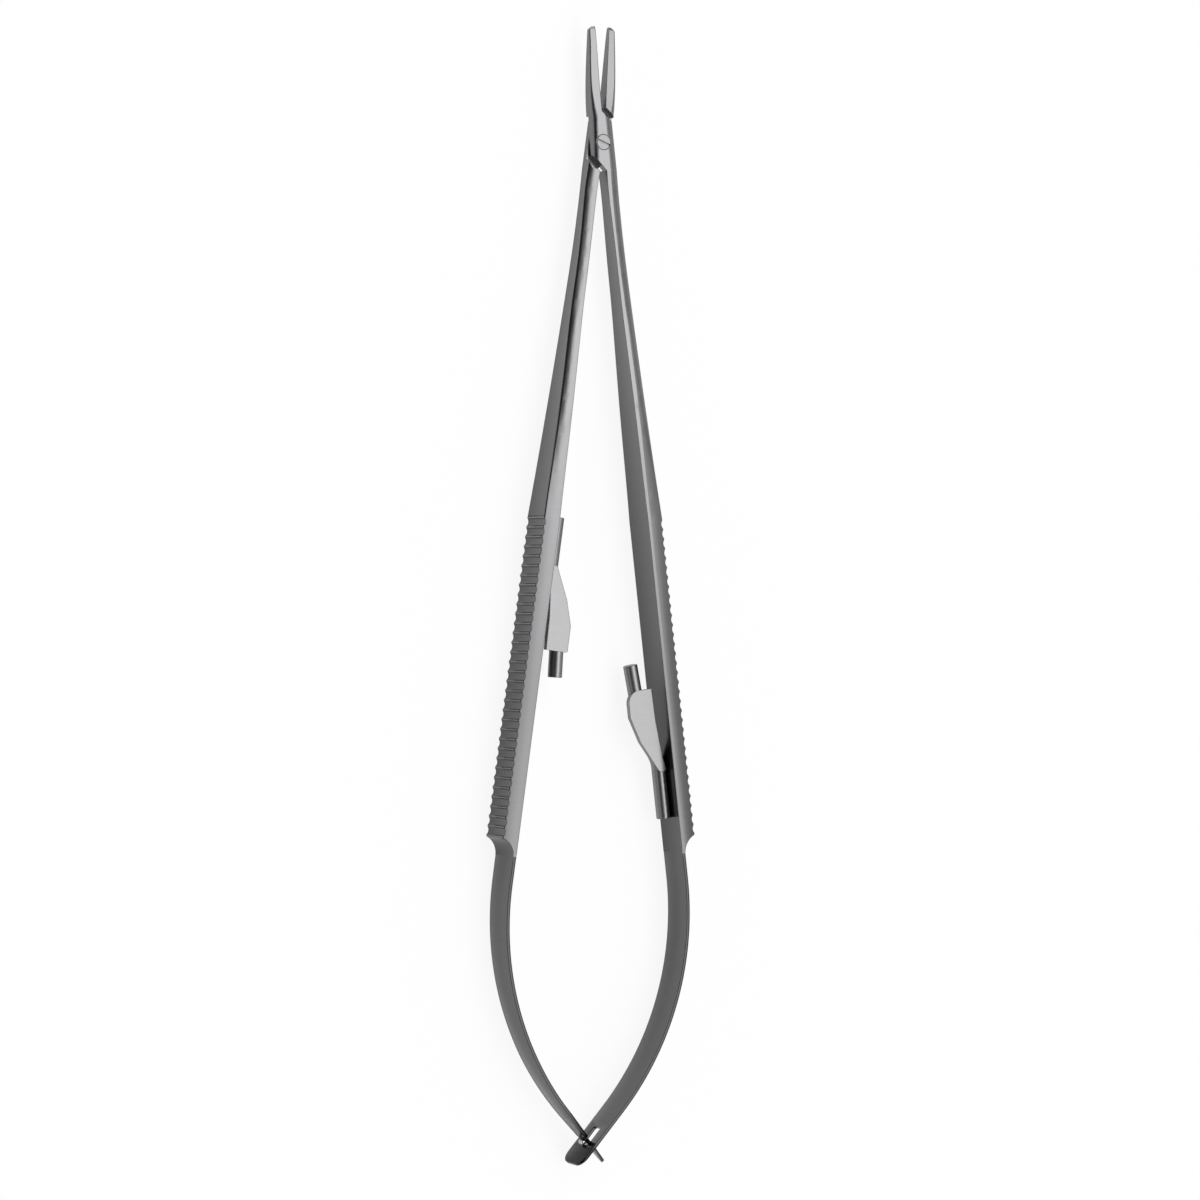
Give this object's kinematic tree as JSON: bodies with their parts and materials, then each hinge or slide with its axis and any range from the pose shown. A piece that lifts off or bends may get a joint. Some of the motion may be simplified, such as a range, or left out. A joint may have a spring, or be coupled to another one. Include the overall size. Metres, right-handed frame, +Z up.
{
  "type": "surgical needle holder",
  "caption": "Spring-handled micro-surgical needle holder with straight narrow jaws, grooved flat handles, a pin catch and crossed leaf springs at the tail.",
  "frame": {"origin": "under the middle of the whole instrument's box, on the surface it lies on", "axes": "+Y from the crossed leaves to the jaw tips, +Z up along the pivot screw and the width of the handles, +X to the handle that carries the slotted leaf"},
  "size_m": [0.0346, 0.1804, 0.0063],
  "materials": {
    "satin_body": "satin-ground stainless steel",
    "spring_leaf": "satin-ground spring-tempered stainless steel",
    "turned_screw": "turned and ground flush",
    "drawn_pin": "bright drawn wire",
    "catch_steel": "forged, blasted matt"
  },
  "bodies": {
    "left_half": {"left_arm": "satin_body", "pivot_screw": "turned_screw", "left_catch": "catch_steel"},
    "right_half": {"right_arm": "satin_body", "right_catch": "catch_steel"},
    "left_spring": {"left_leaf": "spring_leaf", "tail_pin": "drawn_pin"},
    "right_spring": {"right_leaf": "spring_leaf"}
  },
  "joints": [
    {"name": "jaw_pivot", "type": "hinge", "parent": "left_half", "child": "right_half", "pos_m": [0, 0.07176, 0.00315], "axis": [0, 0, -1], "range_deg": [0, 7.6], "stiffness_Nm_per_rad": 1.5},
    {"name": "left_leaf_flex", "type": "hinge", "parent": "left_half", "child": "left_spring", "pos_m": [-0.01513, -0.04103, 0.00315], "axis": [0, 0, -1], "range_deg": [0, 13.2]},
    {"name": "right_leaf_flex", "type": "hinge", "parent": "right_half", "child": "right_spring", "pos_m": [0.01513, -0.04103, 0.00315], "axis": [0, 0, 1], "range_deg": [0, 13.2]}
  ],
  "couplings": [
    {"joint": "left_leaf_flex", "follows": "jaw_pivot", "ratio": 1.71},
    {"joint": "right_leaf_flex", "follows": "jaw_pivot", "ratio": 1.71}
  ]
}
